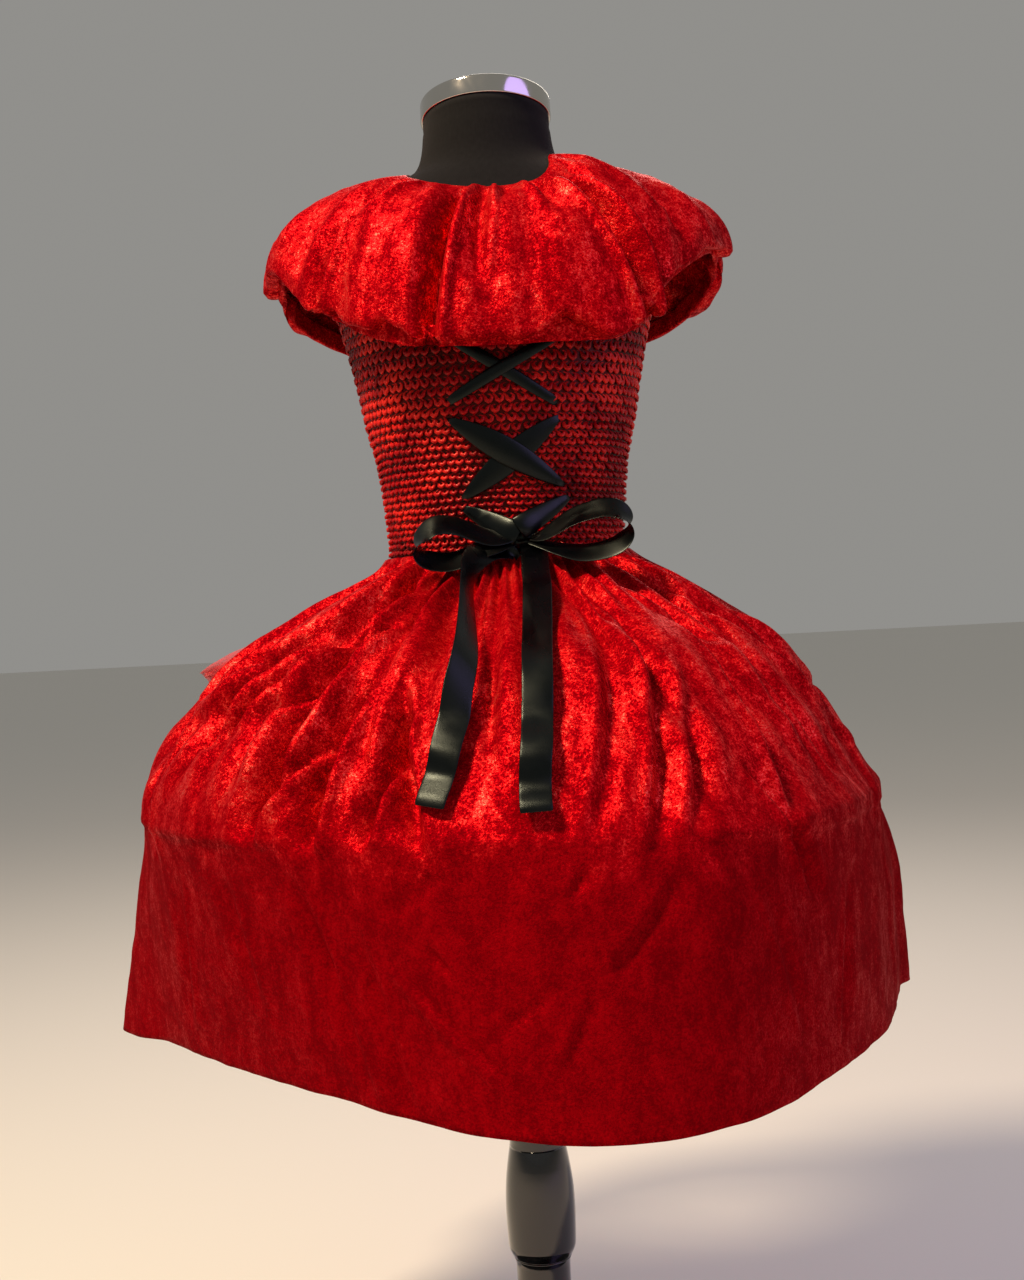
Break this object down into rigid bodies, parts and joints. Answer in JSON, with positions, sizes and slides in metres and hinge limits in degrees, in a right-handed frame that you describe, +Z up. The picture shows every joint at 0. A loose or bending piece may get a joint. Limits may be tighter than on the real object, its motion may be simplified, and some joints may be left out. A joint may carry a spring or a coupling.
{
  "type": "tutu dress on dress form",
  "caption": "Child's costume dress with a puffed velvet collar, stretch bodice laced at the back, tulle tutu and open-front velvet overskirt, on a limbless dress form with a stand.",
  "frame": {"origin": "centre of the underside of the stand's round foot, on the floor", "axes": "+Z up along the stand, -Y towards the laced back of the dress, +X to the viewer's right when looking at the back"},
  "size_m": [0.5924, 0.5749, 0.9885],
  "materials": {
    "velvet": "crushed polyester velvet, red, short shiny pile",
    "crochet": "stretch crochet band, red elastic yarn",
    "tulle": "red polyester tulle net",
    "satin": "black double-faced satin ribbon",
    "jersey": "black stretch jersey cover",
    "chrome": "polished chrome plate",
    "lacquer": "black gloss lacquer"
  },
  "bodies": {
    "root": {"form_torso": "jersey", "neck_cap": "chrome", "stand_column": "lacquer", "stand_foot": "lacquer", "bodice": "crochet", "overskirt": "velvet", "tulle_outer": "tulle", "tulle_inner": "tulle", "collar": "velvet", "lacing_1": "satin", "lacing_2": "satin", "lacing_3": "satin", "lacing_4": "satin", "lacing_5": "satin", "lacing_6": "satin", "bow_knot": "satin", "bow_loop_left": "satin", "bow_loop_right": "satin", "bow_tail_left": "satin", "bow_tail_right": "satin"}
  },
  "joints": []
}
